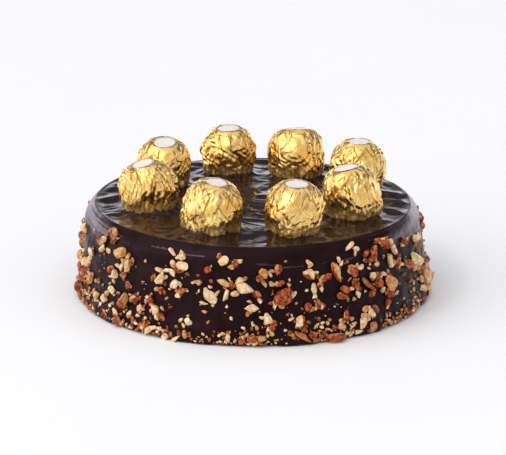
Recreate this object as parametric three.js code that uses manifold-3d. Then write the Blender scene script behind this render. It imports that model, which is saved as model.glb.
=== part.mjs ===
// A round chocolate hazelnut cake, 51 mm tall and about 7 inches across, coated in dark ganache.
// Chopped nuts are pressed into its wall, and eight pralines in gold foil stand in a ring on top,
// each with a small oval paper sticker. Millimetres, +Z up, origin at the centre of the flat base.

import * as THREE from "three";
import { mergeVertices } from "three/addons/utils/BufferGeometryUtils.js";
import Module from "manifold-3d";

const wasm = await Module();
wasm.setup();

// ---- Driving dimensions ----

const CAKE_HEIGHT = 51;
const FOOT_RADIUS = 96;
const WALL_TOP_RADIUS = 91.2;
const RIM_RADIUS = 86;
const SHOULDER_HEIGHT = 6.5;
const FOOT_ROUND = 2.5;

const PRALINE_RADIUS = 15.5;
const PRALINE_HEIGHT = 29.5;
const PRALINE_SINK = 3.3;
const SOCKET_GAP = 0.35;

const STICKER_LENGTH = 12.4;
const STICKER_WIDTH = 10.2;
const STICKER_THICKNESS = 0.3;
const STICKER_GAP = 0.3;

const CAKE_SEGMENTS = 96;
const SHOULDER_STEPS = 3;
const TOP_RINGS = 8;
const PRALINE_SEGMENTS = 16;
const STICKER_SEGMENTS = 8;

// ---- Shared helpers ----

const GOLDEN_ANGLE = Math.PI * (3 - Math.sqrt(5));
const DEGREE = Math.PI / 180;

// The same number between 0 and 1 for the same piece and salt on every run.
function draw(piece, salt) {
  const wave = Math.sin(piece * 12.9898 + salt * 78.233) * 43758.5453;
  return wave - Math.floor(wave);
}

function smooth(low, high, value) {
  const t = THREE.MathUtils.clamp((value - low) / (high - low), 0, 1);
  return t * t * (3 - 2 * t);
}

// A closed geometry, put in place by a matrix, as a solid that can be joined or cut.
function solidFrom(geometry, matrix = new THREE.Matrix4()) {
  const bare = geometry.clone().applyMatrix4(matrix);
  bare.deleteAttribute("normal");
  bare.deleteAttribute("uv");
  const merged = mergeVertices(bare, 1e-4);
  return new wasm.Manifold(
    new wasm.Mesh({
      numProp: 3,
      vertProperties: merged.attributes.position.array,
      triVerts: new Uint32Array(merged.index.array),
    }),
  );
}

function geometryFrom(solid) {
  const mesh = solid.getMesh();
  const geometry = new THREE.BufferGeometry();
  geometry.setAttribute("position", new THREE.BufferAttribute(mesh.vertProperties, 3));
  geometry.setIndex(new THREE.BufferAttribute(mesh.triVerts, 1));
  geometry.computeVertexNormals();
  return geometry;
}

// A lathe turned about Z from a profile of [radius, height] points, bottom first.
function turned(profile, segments) {
  const points = profile.map(([radius, height]) => new THREE.Vector2(radius, height));
  return new THREE.LatheGeometry(points, segments).rotateX(Math.PI / 2);
}

// Moves each point of a geometry by a function that changes the vector it is given.
function reshape(geometry, change) {
  const position = geometry.attributes.position;
  const point = new THREE.Vector3();
  for (let i = 0; i < position.count; i += 1) {
    change(point.fromBufferAttribute(position, i));
    position.setXYZ(i, point.x, point.y, point.z);
  }
  return geometry;
}

// ---- The ganache-coated cake ----

const RIGHT_FOLDS = 24;
const LEFT_FOLDS = 17;
const FOLD_HEIGHT = 1.6;
const FOLD_CURL = 0.14;
const SWIRL_HEIGHT = 1;
const SWIRL_LENGTH = 17;
const WALL_DENT = 0.5;

// The wall leans in from the foot to the shoulder.
function wallRadius(height) {
  const wallTop = CAKE_HEIGHT - SHOULDER_HEIGHT;
  return THREE.MathUtils.lerp(FOOT_RADIUS, WALL_TOP_RADIUS, THREE.MathUtils.clamp(height / wallTop, 0, 1));
}

// Hollow troughs with a sharp crest between them, as a palette knife leaves side by side.
function scallop(turn) {
  return 0.64 - Math.sqrt(Math.sin(turn / 2) ** 2 + 0.004);
}

// Height of the knife's marks on top: broad folds that fan out to the rim at the sides, and swirls
// nearer the middle. They die away just inside the rim.
function topRelief(x, y) {
  const radius = Math.hypot(x, y);
  const sideways = Math.abs(Math.cos(Math.atan2(y, x)));
  const bearing = Math.atan2(y, Math.abs(x));
  const curl = FOLD_CURL * (radius - RIM_RADIUS) + 0.7 * Math.sin(5 * bearing);
  const rightFold = scallop(RIGHT_FOLDS * bearing + curl + 1.3);
  const leftFold = 0.75 * scallop(LEFT_FOLDS * bearing + curl + 0.4);
  const wander = 2.2 * Math.sin(x / 14 + 1) + 1.5 * Math.sin(x / 8 + y / 19);
  const strength = 0.6 + 0.4 * Math.cos(x / 15 + y / 21 + 0.6);
  const swirl = strength * scallop((y / SWIRL_LENGTH) * 2 * Math.PI + wander);
  const outer = smooth(36, 58, radius);
  const fan = smooth(0.3, 0.8, sideways) * (x > 0 ? rightFold : leftFold);
  const rimFade = 0.12 + 0.88 * smooth(RIM_RADIUS - 0.5, RIM_RADIUS - 6, radius);
  return (FOLD_HEIGHT * outer * fan + SWIRL_HEIGHT * (1 - outer) * swirl) * rimFade;
}

// The wall is a hand-spread coat, so it is never quite round.
function wallRelief(angle, height) {
  const slow = Math.sin(3 * angle + 0.8) + 0.7 * Math.sin(7 * angle + height / 11);
  return WALL_DENT * slow * smooth(0, 10, height);
}

// How far the shoulder has dropped below the top, from 0 at the rim to its full height at the wall.
function shoulderDrop(share) {
  return SHOULDER_HEIGHT * (0.45 * share + 0.55 * Math.pow(share, 2.6));
}

function cakeBody() {
  const wallTop = CAKE_HEIGHT - SHOULDER_HEIGHT;
  const profile = [
    [0, 0],
    [FOOT_RADIUS - FOOT_ROUND, 0],
    [wallRadius(FOOT_ROUND), FOOT_ROUND],
    [wallRadius(wallTop / 2), wallTop / 2],
  ];
  for (let step = 0; step <= SHOULDER_STEPS; step += 1) {
    const share = 1 - step / SHOULDER_STEPS;
    const radius = THREE.MathUtils.lerp(RIM_RADIUS, WALL_TOP_RADIUS, share);
    profile.push([radius, CAKE_HEIGHT - shoulderDrop(share)]);
  }
  for (let ring = 1; ring <= TOP_RINGS; ring += 1) {
    profile.push([RIM_RADIUS * (1 - Math.pow(ring / TOP_RINGS, 1.25)), CAKE_HEIGHT]);
  }
  return reshape(turned(profile, CAKE_SEGMENTS), (point) => {
    const radius = Math.hypot(point.x, point.y);
    const angle = Math.atan2(point.y, point.x);
    if (point.z > wallTop) {
      point.z += topRelief(point.x, point.y) * smooth(wallTop, CAKE_HEIGHT, point.z);
    }
    if (radius > RIM_RADIUS && point.z > 0) {
      const swell = 1 + wallRelief(angle, point.z) / radius;
      point.x *= swell;
      point.y *= swell;
    }
  });
}

// ---- Chopped nuts on the wall ----

const NUT_COUNT = 130;
const NUT_LONGEST = 8;
const NUT_SHORTEST = 3.4;
const NUT_LOWEST = 1;
const NUT_HIGHEST = 46;
const NUT_FOOT_BIAS = 1.25;
const NUT_PROUD = 0.5;
const NUT_SPACING = 0.8;
const NUT_CLEARANCE = 0.3;
const COARSE_NUT = 5.5;
const FRONT_FROM = -163;
const FRONT_TO = -17;

// The nuts along the front of the wall, as they were pressed in by hand.
// Each row is the angle round the cake in degrees, then height, length and width, then the lean from upright.
const FRONT_NUTS = [
  [-160, 25, 5.5, 5.5, 35], [-157, 32, 4.5, 4.5, 70], [-156, 18, 5.5, 5, -30], [-150, 12, 5, 3.5, 70],
  [-149, 38, 5, 3.5, 55], [-149, 42, 6.5, 4, 55], [-145, 12, 4.5, 4.5, -60], [-144, 48, 6, 3.5, -60],
  [-141, 18, 5, 3.5, -60], [-140, 27, 7, 2.5, 5], [-138, 40, 7, 6, 75], [-137, 4, 5.5, 4.5, 55],
  [-137, 33, 5.5, 3, 5], [-136, 28, 4.5, 4, 50], [-135, 15, 7.5, 7, 0], [-134, 23, 3, 2.5, 70],
  [-134, 35, 7.5, 2.5, 10], [-130, 17, 4, 2, 0], [-128, 14, 4.5, 3, 25], [-125, 6, 5.5, 3.5, 25],
  [-124, 3, 5, 3.5, 25], [-124, 19, 4, 3, 55], [-122, 15, 6, 3, -10], [-120, 26, 4, 2.5, 0],
  [-120, 32, 7.5, 5, 35], [-118, 2, 4.5, 3.5, 0], [-118, 37, 4, 2.5, 80], [-117, 47, 4.5, 2.5, -45],
  [-115, 30, 5.5, 4, 25], [-114, 2, 6.5, 2, 50], [-113, 40, 6.5, 5.5, 90], [-113, 45, 5, 4, 0],
  [-112, 28, 5.5, 3, 80], [-111, 5, 5, 3.5, 0], [-110, 12, 4.5, 3, -40], [-107, 33, 4.5, 3, -70],
  [-104, 40, 3.5, 3, 0], [-103, 26, 8.5, 5, -45], [-99, 34, 6.5, 3.5, -70], [-99, 45, 5, 5, 90],
  [-98, 27, 6, 3, 20], [-97, 5, 5, 2.5, 0], [-96, 43, 4, 3.5, 20], [-94, 35, 5, 3.5, 35],
  [-93, 3, 3.5, 2, -65], [-92, 31, 7.5, 5.5, -55], [-90, 5, 4.5, 4, 90], [-90, 21, 7, 4, -70],
  [-87, 5, 4.5, 3, 80], [-86, 39, 6, 4, -20], [-85, 15, 7.5, 4.5, -5], [-84, 8, 4, 2.5, -40],
  [-82, 33, 3, 2.5, 0], [-82, 41, 4.5, 4, 0], [-80, 27, 9.5, 7.5, 60], [-75, 13, 7, 5, 20],
  [-74, 5, 9.5, 3, -50], [-72, 20, 4.5, 3, 0], [-72, 38, 6, 4.5, -45], [-70, 29, 6.5, 3, -10],
  [-69, 10, 3.5, 1.5, 60], [-69, 21, 5, 2, 20], [-67, 34, 4.5, 3, 60], [-63, 3, 9, 5, 90],
  [-62, 37, 10, 4, -25], [-61, 43, 3, 2, 0], [-59, 13, 5, 3.5, 0], [-59, 27, 6, 3, -50],
  [-56, 37, 7, 5, -35], [-56, 48, 6, 2, 40], [-55, 29, 5.5, 3, 0], [-54, 23, 5.5, 3, -40],
  [-53, 8, 7, 3.5, 10], [-50, 27, 9.5, 2.5, -45], [-49, 4, 7, 4.5, 0], [-49, 12, 6.5, 3.5, -45],
  [-46, 42, 7.5, 4, 15], [-45, 26, 5.5, 4.5, -40], [-41, 47, 6.5, 5, 90], [-40, 18, 6.5, 3, -70],
  [-39, 24, 9.5, 6, -50], [-38, 36, 5.5, 3, 0], [-36, 41, 6.5, 3, -15], [-34, 32, 6.5, 4, -30],
  [-29, 42, 4.5, 3.5, -55], [-28, 30, 7.5, 4, -35], [-22, 30, 8.5, 6, -40], [-20, 40, 7, 4, -40],
];

function frontNut([degrees, height, length, width, lean], index) {
  return { piece: 1000 + index, angle: degrees * DEGREE, height, length, width, lean: lean * DEGREE };
}

function atFront(angle) {
  return angle > FRONT_FROM * DEGREE && angle < FRONT_TO * DEGREE;
}

// Nuts gather in drifts, with bare ganache between them, and thicken towards the foot.
function drift(angle, height) {
  const crossing = Math.sin(5 * angle + height / 6) + 0.8 * Math.sin(11 * angle - height / 9 + 2);
  return 0.55 + 0.2 * crossing + 0.3 * smooth(15, 5, height) - 0.3 * smooth(36, 46, height);
}

// The rest, largest first, spread round the wall a golden angle apart.
function scatteredNut(piece, share) {
  const length = THREE.MathUtils.lerp(NUT_LONGEST, NUT_SHORTEST, Math.pow(share, 0.5));
  const climb = Math.pow((draw(piece, 2) + piece * 0.7548777) % 1, NUT_FOOT_BIAS);
  return {
    piece,
    length,
    width: length * (0.5 + 0.35 * draw(piece, 3)),
    angle: (piece * GOLDEN_ANGLE + 0.5 * draw(piece, 1) + Math.PI) % (2 * Math.PI) - Math.PI,
    height: NUT_LOWEST + length / 2 + (NUT_HIGHEST - NUT_LOWEST - length) * climb,
    lean: Math.PI * draw(piece, 6),
  };
}

function tooClose(nut, other) {
  const around = (nut.angle - other.angle) * WALL_TOP_RADIUS;
  return Math.hypot(around, nut.height - other.height) < NUT_SPACING * (nut.length + other.length) / 2;
}

function allNuts() {
  const front = FRONT_NUTS.map(frontNut);
  const scattered = [];
  for (let piece = 1; scattered.length < NUT_COUNT; piece += 1) {
    const nut = scatteredNut(piece, scattered.length / NUT_COUNT);
    const wanted = draw(piece, 7) < drift(nut.angle, nut.height) && !atFront(nut.angle);
    if (wanted && ![...front, ...scattered].some((other) => tooClose(nut, other))) {
      scattered.push(nut);
    }
  }
  return [...front, ...scattered];
}

// An angular chunk, pressed so far in that most of it stands proud. On the shoulder it follows the slope,
// and at the foot it stays clear of what the cake stands on.
function nutSolid({ piece, length, width, angle, height, lean }) {
  const depth = 0.5 * (width + length) * (0.6 + 0.2 * draw(piece, 4));
  const Kernel = length < COARSE_NUT ? THREE.OctahedronGeometry : THREE.IcosahedronGeometry;
  const chunk = mergeVertices(new Kernel(1, 0).deleteAttribute("normal").deleteAttribute("uv"));
  let corner = 0;
  reshape(chunk, (point) => {
    corner += 1;
    point.multiplyScalar(1 + 0.3 * draw(piece * 13 + corner, 5));
    point.set(point.x * width / 2, point.y * length / 2, point.z * depth / 2);
  });
  const setBack = 0.5 * Math.max(height - (CAKE_HEIGHT - SHOULDER_HEIGHT), 0);
  const radius = wallRadius(height) + wallRelief(angle, height) + (depth * NUT_PROUD) / 2 - setBack;
  const matrix = new THREE.Matrix4()
    .makeRotationZ(angle)
    .multiply(new THREE.Matrix4().makeTranslation(radius, 0, height))
    .multiply(new THREE.Matrix4().makeRotationZ(Math.PI / 2))
    .multiply(new THREE.Matrix4().makeRotationX(Math.PI / 2))
    .multiply(new THREE.Matrix4().makeRotationZ(-lean));
  chunk.applyMatrix4(matrix);
  chunk.computeBoundingBox();
  chunk.translate(0, 0, Math.max(NUT_CLEARANCE - chunk.boundingBox.min.z, 0));
  return solidFrom(chunk);
}

// ---- Foil-wrapped pralines ----

// Where each praline stands, its girth beside the usual one, the slope its wall ends on at the foot,
// how far it leans, which way it leans, and the turns of its folds and of its sticker. All as laid by hand.
const PRALINES = [
  { place: "front_left", x: -21, y: -56, girth: 1.04, foot: 44, lean: 9, toward: -10, folds: 20, sticker: 80 },
  { place: "front_right", x: 22, y: -57.5, girth: 1, foot: 52, lean: 6, toward: -50, folds: 110, sticker: 25 },
  { place: "right", x: 52.5, y: -25.5, girth: 1.02, foot: 46, lean: 11, toward: 175, folds: 215, sticker: 5 },
  { place: "back_right", x: 58, y: 28.5, girth: 0.98, foot: 50, lean: 3, toward: -20, folds: 320, sticker: 55 },
  { place: "rear_right", x: 24, y: 53, girth: 1.03, foot: 44, lean: 11, toward: 100, folds: 75, sticker: 30 },
  { place: "rear_left", x: -14, y: 55, girth: 0.97, foot: 50, lean: 3, toward: -90, folds: 160, sticker: 30 },
  { place: "back_left", x: -49.5, y: 27, girth: 0.97, foot: 50, lean: 14, toward: -78, folds: 250, sticker: 35 },
  { place: "left", x: -56, y: -19.5, girth: 1.01, foot: 50, lean: 12, toward: 195, folds: 355, sticker: 60 },
];

const TOP_SLOPE = 66;
const BARREL = 0.78;
const PRALINE_RINGS = 9;

// The ball is a barrel with a small flat top and a wider flat base, where the foil is crimped.
function pralineShape({ girth, foot }, extra = 0) {
  const profile = [[0, -PRALINE_HEIGHT / 2 - extra]];
  for (let ring = 0; ring <= PRALINE_RINGS; ring += 1) {
    const slope = THREE.MathUtils.lerp(-foot, TOP_SLOPE, ring / PRALINE_RINGS) * DEGREE;
    const reach = Math.sin((slope < 0 ? foot : TOP_SLOPE) * DEGREE);
    profile.push([
      (PRALINE_RADIUS * girth + extra) * Math.pow(Math.cos(slope), BARREL),
      ((PRALINE_HEIGHT / 2 + extra) * Math.sin(slope)) / reach,
    ]);
  }
  profile.push([0, PRALINE_HEIGHT / 2 + extra]);
  return turned(profile, PRALINE_SEGMENTS);
}

// The foil is creased by hand: long pleats that deepen to the base, and broad dents.
function creaseFoil(geometry, folds) {
  return reshape(geometry, (point) => {
    const angle = Math.atan2(point.y, point.x) + folds * DEGREE;
    const climb = point.z / PRALINE_HEIGHT + 0.5;
    const pleats = 0.45 * Math.sin(6 * angle + 3 * climb) * (1 - 0.7 * climb);
    const dents = 0.35 * Math.sin(2 * angle + 5 * climb) + 0.3 * Math.sin(4 * angle - 7 * climb + 1);
    const swell = 1 + ((pleats + dents) * smooth(0, 8, Math.hypot(point.x, point.y))) / PRALINE_RADIUS;
    point.x *= swell;
    point.y *= swell;
  });
}

function pralineMatrix({ x, y, lean, toward }) {
  const axis = new THREE.Vector3(-Math.sin(toward * DEGREE), Math.cos(toward * DEGREE), 0);
  const middle = CAKE_HEIGHT - PRALINE_SINK + PRALINE_HEIGHT / 2;
  return new THREE.Matrix4()
    .makeTranslation(x, y, middle)
    .multiply(new THREE.Matrix4().makeRotationAxis(axis, lean * DEGREE));
}

// ---- Paper stickers ----

function stickerShape() {
  const outline = new THREE.Shape();
  outline.absellipse(0, 0, STICKER_LENGTH / 2, STICKER_WIDTH / 2, 0, 2 * Math.PI, false, 0);
  return new THREE.ExtrudeGeometry(outline, {
    depth: STICKER_THICKNESS,
    bevelEnabled: false,
    curveSegments: STICKER_SEGMENTS,
  });
}

// ---- The whole cake ----

const ganache = new THREE.MeshStandardMaterial({ color: 0x2b1a17, roughness: 0.25 });
const foil = new THREE.MeshStandardMaterial({ color: 0xd2a33c, roughness: 0.3, metalness: 1 });
const paper = new THREE.MeshStandardMaterial({ color: 0xf4f1ee, roughness: 0.6 });

const cakeGroup = new THREE.Group();

let cakeSolid = solidFrom(cakeBody());
for (const nut of allNuts()) {
  cakeSolid = cakeSolid.add(nutSolid(nut));
}

for (const praline of PRALINES) {
  const matrix = pralineMatrix(praline);
  const socket = solidFrom(creaseFoil(pralineShape(praline, SOCKET_GAP), praline.folds), matrix);
  cakeSolid = cakeSolid.subtract(socket);

  const holder = new THREE.Group();
  holder.applyMatrix4(matrix);
  const ball = new THREE.Mesh(creaseFoil(pralineShape(praline), praline.folds), foil);
  ball.name = `praline_${praline.place}`;
  const sticker = new THREE.Mesh(stickerShape(), paper);
  sticker.name = `sticker_${praline.place}`;
  sticker.position.z = PRALINE_HEIGHT / 2 + STICKER_GAP;
  sticker.rotation.z = praline.sticker * DEGREE;
  holder.add(ball, sticker);
  cakeGroup.add(holder);
}

const cake = new THREE.Mesh(geometryFrom(cakeSolid), ganache);
cake.name = "cake";
cakeGroup.add(cake);

export default cakeGroup;
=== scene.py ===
"""A round chocolate hazelnut cake, coated in dark ganache, with nuts on its wall and foil pralines on top.

The sections follow the cake as it is made: the coated cake, the nuts pressed into its wall, the pralines
stood on top and their paper stickers. Shapes are worked out in millimetres and built in metres.
"""

import math
from collections import namedtuple

import bmesh
import bpy
import numpy as np
from mathutils import Matrix, Vector


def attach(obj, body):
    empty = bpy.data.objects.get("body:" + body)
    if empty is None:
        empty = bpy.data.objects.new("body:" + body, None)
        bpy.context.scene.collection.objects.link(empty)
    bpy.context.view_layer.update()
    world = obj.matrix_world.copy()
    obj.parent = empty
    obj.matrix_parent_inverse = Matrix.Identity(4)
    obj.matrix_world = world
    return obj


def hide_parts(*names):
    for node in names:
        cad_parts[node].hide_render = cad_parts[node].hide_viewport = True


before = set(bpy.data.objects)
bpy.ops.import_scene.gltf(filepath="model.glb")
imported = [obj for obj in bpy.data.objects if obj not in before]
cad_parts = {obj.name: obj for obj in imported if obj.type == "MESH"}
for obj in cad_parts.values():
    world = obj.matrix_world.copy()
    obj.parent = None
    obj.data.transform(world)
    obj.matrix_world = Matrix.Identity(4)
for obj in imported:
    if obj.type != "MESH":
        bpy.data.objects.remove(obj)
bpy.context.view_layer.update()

# ---- Where the cake is seen from ----
# A long lens stands 1.4 m off, 17 degrees above the table, and looks at the upper part of the wall.
# It hangs half a degree out of level.

camera_distance = 1.4
camera_rise = math.radians(16.963)
camera_roll = math.radians(0.546)
camera_stand = Vector((0, 0, 0.035))
camera_aim = Vector((0.0003, 0, 0.0354))

camera_data = bpy.data.cameras.new("long_lens")
camera_data.sensor_width = 36
camera_data.lens = 181.85
camera_data.clip_end = 60
camera = bpy.data.objects.new("camera", camera_data)
camera.location = camera_stand + camera_distance * Vector((0, -math.cos(camera_rise), math.sin(camera_rise)))
camera_turn = (camera_aim - camera.location).to_track_quat("-Z", "Y").to_matrix()
camera.rotation_euler = (camera_turn @ Matrix.Rotation(camera_roll, 3, "Z")).to_euler()
bpy.context.scene.collection.objects.link(camera)
bpy.context.scene.camera = camera

# ---- The cake and its coat ----
# A round sponge under a thick coat of dark ganache, spread on by hand with a palette knife. The knife
# leaves overlapping strokes on top, a lip along the rim and faint streaks round the wall, and the soft
# ganache wells up round each praline that is pushed into it.

MM = 0.001
CAKE_HEIGHT = 51
FOOT_RADIUS = 96
WALL_TOP_RADIUS = 91.2
RIM_RADIUS = 86
SHOULDER_HEIGHT = 6.5
WALL_TOP = CAKE_HEIGHT - SHOULDER_HEIGHT
FOOT_ROUND = 2.5

CAKE_STEPS_ROUND = 600
LOW_WALL_STEP = 1.3
HIGH_WALL_FROM = 38
HIGH_WALL_STEP = 0.5
SHOULDER_STEPS = 16
RIM_STEP = 0.8
MIDDLE_WITHIN = 60
MIDDLE_STEP = 1.0

FAN_HEIGHT = 1.9
SWIRL_HEIGHT = 1.4
SWIRL_SPACING = 17
KNIFE_STROKES = 30
STROKES_WITHIN = 78
LIP_WIDTH = 0.8
BURRS = 44
BURR_WIDTH = 0.45
SMEARS = 11
SMEAR_SPACING = 33
GOLDEN_ANGLE = math.pi * (3 - math.sqrt(5))

# The length, height and seed of the slow swells in the ganache, on top and on the wall.
TOP_SWELLS = [(21, 0.45, 37), (10, 0.16, 33), (6, 0.05, 31)]
WALL_SWELLS = [(13, 0.3, 41), (5, 0.12, 43)]

PRALINE_RADIUS = 15.5
PRALINE_HEIGHT = 29.5
PRALINE_SINK = 3.3
GIRTH_AT_GANACHE = 0.84

# Name, place, girth beside the usual one, slope at the foot, lean, the way it leans, the turn of its folds,
# the turn of its sticker, in degrees, and how far the ganache wells up round it.
Praline = namedtuple("Praline", "name x y girth foot lean toward fold_turn sticker_turn swell")
PRALINES = [
    Praline("front_left", -21, -56, 1.04, 44, 9, -10, 20, 80, 3.2),
    Praline("front_right", 22, -57.5, 1, 52, 6, -50, 110, 25, 2),
    Praline("right", 52.5, -25.5, 1.02, 46, 11, 175, 215, 5, 2),
    Praline("back_right", 58, 28.5, 0.98, 50, 3, -20, 320, 55, 2),
    Praline("rear_right", 24, 53, 1.03, 44, 11, 100, 75, 30, 2.4),
    Praline("rear_left", -14, 55, 0.97, 50, 3, -90, 160, 30, 3.4),
    Praline("back_left", -49.5, 27, 0.97, 50, 14, -78, 250, 35, 2.6),
    Praline("left", -56, -19.5, 1.01, 50, 12, 195, 355, 60, 3.8),
]


def draw(piece, salt):
    """The same number between 0 and 1 for the same piece and salt on every run."""
    wave = np.sin(piece * 12.9898 + salt * 78.233) * 43758.5453
    return wave - np.floor(wave)


def smooth(low, high, value):
    """0 at low and 1 at high, with a soft start and end. Low may be the larger of the two."""
    share = np.clip((value - low) / (high - low), 0, 1)
    return share * share * (3 - 2 * share)


def direction(climb, turn):
    """A way through space, from how far it climbs, -1 to 1, and its turn round the upright."""
    level = math.sqrt(max(1 - climb * climb, 0))
    return np.array([level * math.cos(turn), level * math.sin(turn), climb])


def along_round(angle, middle, radius):
    """How far an angle lies to the side of a middle one, measured round a circle of this radius."""
    return (np.mod(angle - middle + math.pi, 2 * math.pi) - math.pi) * radius


def waves(points, length, seed, count=7, folded=False):
    """Waves that cross each other at random. Folded ones crease the surface into flat facets."""
    total = np.zeros(len(points))
    for wave in range(count):
        way = direction(2 * draw(seed, wave * 5 + 1) - 1, 2 * math.pi * draw(seed, wave * 5 + 2))
        wave_length = length * (0.7 + 0.6 * draw(seed, wave * 5 + 3))
        phase = points @ way / wave_length + draw(seed, wave * 5 + 4)
        if folded:
            total += 4 * np.abs(phase - np.floor(phase) - 0.5) - 1
        else:
            total += np.sin(2 * math.pi * phase)
    return total / math.sqrt(count)


def wall_radius(height):
    """The wall leans in a little from the foot to the shoulder."""
    return FOOT_RADIUS + (WALL_TOP_RADIUS - FOOT_RADIUS) * np.clip(height / WALL_TOP, 0, 1)


def wall_relief(angle, height):
    """The hand-spread wall is never quite round."""
    slow = np.sin(3 * angle + 0.8) + 0.7 * np.sin(7 * angle + height / 11)
    return 0.5 * slow * smooth(0, 10, height)


def scallop(turn):
    """Hollow troughs with a sharp crest between them, as a palette knife leaves side by side."""
    return 0.64 - np.sqrt(np.sin(turn / 2) ** 2 + 0.004)


def fan_relief(x, y):
    """The broad folds that fan out to the rim at the sides, and the swirls nearer the middle."""
    radius = np.hypot(x, y)
    sideways = np.abs(np.cos(np.arctan2(y, x)))
    bearing = np.arctan2(y, np.abs(x))
    curl = 0.14 * (radius - RIM_RADIUS) + 0.7 * np.sin(5 * bearing)
    fan = np.where(x > 0, scallop(24 * bearing + curl + 1.3), 0.75 * scallop(17 * bearing + curl + 0.4))
    bend = 2.2 * np.sin(x / 14 + 1) + 1.5 * np.sin(x / 8 + y / 19)
    swirl = scallop(y / SWIRL_SPACING * 2 * math.pi + bend)
    waning = 0.6 + 0.4 * np.cos(x / 15 + 0.6 + y / 21)
    deeper_in_front = 1 + 0.6 * smooth(50, 74, -y)
    swirl = swirl * waning * deeper_in_front
    beside = smooth(0.3, 0.8, sideways) * smooth(36, 58, radius)
    return FAN_HEIGHT * beside * fan + SWIRL_HEIGHT * (1 - beside) * swirl


def knife_strokes(x, y, relief):
    """Each stroke of the knife leaves a shallow trough with a ridge along one side, over those before it."""
    for stroke in range(1, KNIFE_STROKES + 1):
        out = STROKES_WITHIN * math.sqrt(draw(stroke, 11))
        angle = stroke * GOLDEN_ANGLE
        half_width = 6 + 5 * draw(stroke, 12)
        half_length = 12 + 12 * draw(stroke, 13)
        way = 2 * math.pi * draw(stroke, 14)
        from_x = x - out * math.cos(angle)
        from_y = y - out * math.sin(angle)
        along = from_x * math.cos(way) + from_y * math.sin(way)
        across = from_y * math.cos(way) - from_x * math.sin(way)
        across = across + (draw(stroke, 15) - 0.5) * 12 * (along / half_length) ** 2
        reach = (along / half_length) ** 2 + (across / half_width) ** 2
        trough = 0.9 * (across / half_width) ** 2 - 0.45
        ridge = 0.3 * np.exp(-((across - 0.75 * half_width) ** 2))
        relief = relief + smooth(1, 0.75, reach) * (trough + ridge - 0.35 * relief)
    return relief


def drag_marks(angle, height):
    """Fine marks drawn down over the shoulder, and thin burrs where the knife left the wall."""
    down = np.sin(118 * angle + 3 * np.sin(5 * angle)) + np.sin(151 * angle + 2 * np.sin(9 * angle))
    over_shoulder = smooth(WALL_TOP - 2, WALL_TOP + 2, height) * smooth(0.3, 0.8, np.abs(np.cos(angle)))
    marks = 0.02 * down * over_shoulder
    for burr in range(BURRS):
        half_length = 3 + 8 * draw(burr, 62)
        along = along_round(angle, burr * GOLDEN_ANGLE, WALL_TOP_RADIUS)
        level = 41 + 8 * draw(burr, 63) + (draw(burr, 64) - 0.5) * along / 6
        ridge = np.exp(-(((height - level) / BURR_WIDTH) ** 2))
        marks = marks + (0.1 + 0.2 * draw(burr, 65)) * ridge * smooth(1, 0.6, np.abs(along) / half_length)
    return marks


def foot_smears(angle, height):
    """The coat is thicker here and there near the foot, with a ledge where each smear begins."""
    thickness = np.zeros_like(angle)
    for smear in range(SMEARS):
        middle = math.radians(-150 + SMEAR_SPACING * smear + 9 * draw(smear, 71))
        half_length = 11 + 9 * draw(smear, 72)
        along = along_round(angle, middle, FOOT_RADIUS)
        edge = 9 + 3 * draw(smear, 73) + 1.2 * np.sin(along / 4 + smear)
        bulge = smooth(1, 0.55, np.abs(along) / half_length) * smooth(edge + 1, edge - 2.5, height)
        thickness = np.maximum(thickness, (1 + 0.5 * draw(smear, 74)) * bulge)
    return thickness


def praline_foot(x, y, praline):
    """How far a point on top lies outside a praline where it enters the ganache, and its angle round it."""
    shift = math.sin(math.radians(praline.lean)) * (PRALINE_HEIGHT / 2 - PRALINE_SINK)
    from_x = x - praline.x + shift * math.cos(math.radians(praline.toward))
    from_y = y - praline.y + shift * math.sin(math.radians(praline.toward))
    outside = np.hypot(from_x, from_y) - GIRTH_AT_GANACHE * PRALINE_RADIUS * praline.girth
    return outside, np.arctan2(from_y, from_x)


def top_height(x, y):
    """How far the ganache stands above or below the level top: knife marks, lip and swollen collars."""
    radius = np.hypot(x, y)
    angle = np.arctan2(y, x)
    flat_points = np.stack([x, y, np.zeros_like(x)], 1)
    relief = knife_strokes(x, y, fan_relief(x, y))
    for length, size, seed in TOP_SWELLS:
        relief = relief + size * waves(flat_points, length, seed)
    relief = relief * (0.12 + 0.88 * smooth(RIM_RADIUS - 0.5, RIM_RADIUS - 6, radius))
    lip = 0.25 + 0.12 * np.sin(5 * angle + 1)
    relief = relief + lip * np.exp(-(((radius - RIM_RADIUS) / LIP_WIDTH) ** 2))
    for index, praline in enumerate(PRALINES):
        outside, around = praline_foot(x, y, praline)
        uneven = 1 + 0.22 * np.sin(2 * around + index) + 0.2 * np.sin(5 * around + 2 * index)
        swell = praline.swell * (uneven + 0.12 * np.sin(13 * around + index))
        collar = swell * np.exp(-np.maximum(outside - 0.4, 0) / (0.9 + 0.35 * praline.swell))
        near = smooth(12, 2, outside)
        relief = relief * (1 - 0.5 * near) + collar
        relief = relief + smooth(-0.2, -1.4, outside) * (-PRALINE_SINK - 0.5 - relief)
    return relief


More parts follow.
